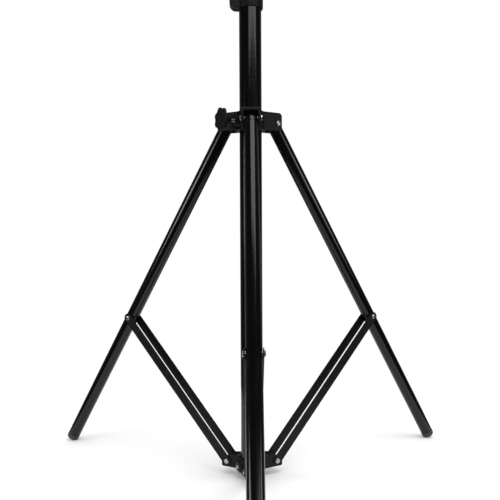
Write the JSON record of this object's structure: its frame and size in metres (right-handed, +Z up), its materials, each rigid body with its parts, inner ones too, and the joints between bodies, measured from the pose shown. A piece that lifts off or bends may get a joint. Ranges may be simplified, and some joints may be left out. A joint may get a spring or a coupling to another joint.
{
  "type": "speaker tripod stand",
  "caption": "Speaker tripod stand: telescoping mast in a column with pinch clamp, folding tube legs on a sliding collar with star lock knob, flat strip braces.",
  "frame": {"origin": "centre of the flat underside of the column end cap, on the column axis; the feet reach 5 mm below it", "axes": "+Z up along the column and mast; -Y towards the front leg; +X to the right seen from the front leg, away from the clamp ears"},
  "size_m": [0.8098, 0.7047, 1.0083],
  "materials": {
    "gloss_black_paint": "glossy black enamel on drawn steel tube and the hinge fittings pressed into it",
    "satin_black_metal": "satin black powder coat with a fine grain",
    "black_plastic": "fine-grained moulded nylon, satin",
    "inner_plastic": "smooth matt moulded nylon",
    "foot_rubber": "matt moulded rubber",
    "zinc_fasteners": "bright zinc plate, slightly brushed"
  },
  "bodies": {
    "column": {"outer_tube": "gloss_black_paint", "column_end_cap": "inner_plastic", "lower_collar": "satin_black_metal", "lower_collar_screw": "zinc_fasteners", "lower_rivet_front": "zinc_fasteners", "lower_rivet_right": "zinc_fasteners", "lower_rivet_left": "zinc_fasteners", "clamp_housing": "satin_black_metal", "clamp_bushing": "inner_plastic", "clamp_fixing_bolt": "zinc_fasteners", "clamp_fixing_nut": "zinc_fasteners", "clamp_bolt": "zinc_fasteners"},
    "mast": {"mast_tube": "gloss_black_paint", "mast_top_cap": "inner_plastic", "mast_glide": "inner_plastic"},
    "clamp_washer": {"clamp_washer": "zinc_fasteners"},
    "clamp_knob": {"clamp_knob": "black_plastic"},
    "leg_collar": {"leg_collar": "black_plastic", "collar_bushing": "inner_plastic", "lock_nut": "zinc_fasteners", "leg_hinge_bolt_front": "zinc_fasteners", "leg_hinge_bolt_right": "zinc_fasteners", "leg_hinge_bolt_left": "zinc_fasteners", "leg_hinge_nut_front": "zinc_fasteners", "leg_hinge_nut_right": "zinc_fasteners", "leg_hinge_nut_left": "zinc_fasteners"},
    "lock_pad": {"lock_pad": "inner_plastic"},
    "lock_knob": {"lock_knob": "black_plastic", "lock_screw": "zinc_fasteners"},
    "leg_front": {"leg_tube_front": "gloss_black_paint", "leg_hinge_plug_front": "gloss_black_paint", "foot_cap_front": "foot_rubber", "leg_bush_front": "zinc_fasteners"},
    "brace_front": {"brace_front_a": "satin_black_metal", "brace_front_b": "satin_black_metal", "brace_rivet_front_a": "zinc_fasteners", "brace_rivet_front_b": "zinc_fasteners"},
    "leg_right": {"leg_tube_right": "gloss_black_paint", "leg_hinge_plug_right": "gloss_black_paint", "foot_cap_right": "foot_rubber", "leg_bush_right": "zinc_fasteners"},
    "brace_right": {"brace_right_a": "satin_black_metal", "brace_right_b": "satin_black_metal", "brace_rivet_right_a": "zinc_fasteners", "brace_rivet_right_b": "zinc_fasteners"},
    "leg_left": {"leg_tube_left": "gloss_black_paint", "leg_hinge_plug_left": "gloss_black_paint", "foot_cap_left": "foot_rubber", "leg_bush_left": "zinc_fasteners"},
    "brace_left": {"brace_left_a": "satin_black_metal", "brace_left_b": "satin_black_metal", "brace_rivet_left_a": "zinc_fasteners", "brace_rivet_left_b": "zinc_fasteners"}
  },
  "joints": [
    {"name": "mast_slide", "type": "slide", "parent": "column", "child": "mast", "axis": [0, 0, 1], "range_m": [0, 0.65]},
    {"name": "fold_slide", "type": "slide", "parent": "column", "child": "leg_collar", "axis": [0, 0, 1], "range_m": [0, 0.15962]},
    {"name": "leg_hinge_front", "type": "hinge", "parent": "leg_collar", "child": "leg_front", "pos_m": [0, -0.0495, 0.65328], "axis": [1, 0, 0], "range_deg": [0, 31.92]},
    {"name": "brace_hinge_front", "type": "hinge", "parent": "column", "child": "brace_front", "pos_m": [0, -0.047, 0.02], "axis": [1, 0, 0], "range_deg": [-42.27, 0]},
    {"name": "leg_hinge_right", "type": "hinge", "parent": "leg_collar", "child": "leg_right", "pos_m": [0.04287, 0.02475, 0.65328], "axis": [-0.5, 0.866, 0], "range_deg": [0, 31.92]},
    {"name": "brace_hinge_right", "type": "hinge", "parent": "column", "child": "brace_right", "pos_m": [0.0407, 0.0235, 0.02], "axis": [-0.5, 0.866, 0], "range_deg": [-42.27, 0]},
    {"name": "leg_hinge_left", "type": "hinge", "parent": "leg_collar", "child": "leg_left", "pos_m": [-0.04287, 0.02475, 0.65328], "axis": [-0.5, -0.866, 0], "range_deg": [0, 31.92]},
    {"name": "brace_hinge_left", "type": "hinge", "parent": "column", "child": "brace_left", "pos_m": [-0.0407, 0.0235, 0.02], "axis": [-0.5, -0.866, 0], "range_deg": [-42.27, 0]},
    {"name": "lock_pad_slide", "type": "slide", "parent": "leg_collar", "child": "lock_pad", "axis": [-0.866, -0.5, 0], "range_m": [0, 0.00151]},
    {"name": "lock_knob_turn", "type": "hinge", "parent": "lock_pad", "child": "lock_knob", "pos_m": [-0.0433, -0.025, 0.65428], "axis": [-0.866, -0.5, 0], "range_deg": [0, 540]},
    {"name": "clamp_washer_slide", "type": "slide", "parent": "column", "child": "clamp_washer", "axis": [0, 1, 0], "range_m": [0, 0.00189]},
    {"name": "clamp_knob_turn", "type": "hinge", "parent": "clamp_washer", "child": "clamp_knob", "pos_m": [-0.029, 0.02, 0.916], "axis": [0, 1, 0], "range_deg": [0, 540]}
  ],
  "couplings": [
    {"joint": "leg_hinge_front", "follows": "fold_slide", "rad_per_m": 3.4903},
    {"joint": "brace_hinge_front", "follows": "fold_slide", "rad_per_m": -4.6224},
    {"joint": "leg_hinge_right", "follows": "fold_slide", "rad_per_m": 3.4903},
    {"joint": "brace_hinge_right", "follows": "fold_slide", "rad_per_m": -4.6224},
    {"joint": "leg_hinge_left", "follows": "fold_slide", "rad_per_m": 3.4903},
    {"joint": "brace_hinge_left", "follows": "fold_slide", "rad_per_m": -4.6224},
    {"joint": "lock_pad_slide", "follows": "lock_knob_turn", "m_per_rad": 0.00015915},
    {"joint": "clamp_washer_slide", "follows": "clamp_knob_turn", "m_per_rad": 0.00019894}
  ]
}
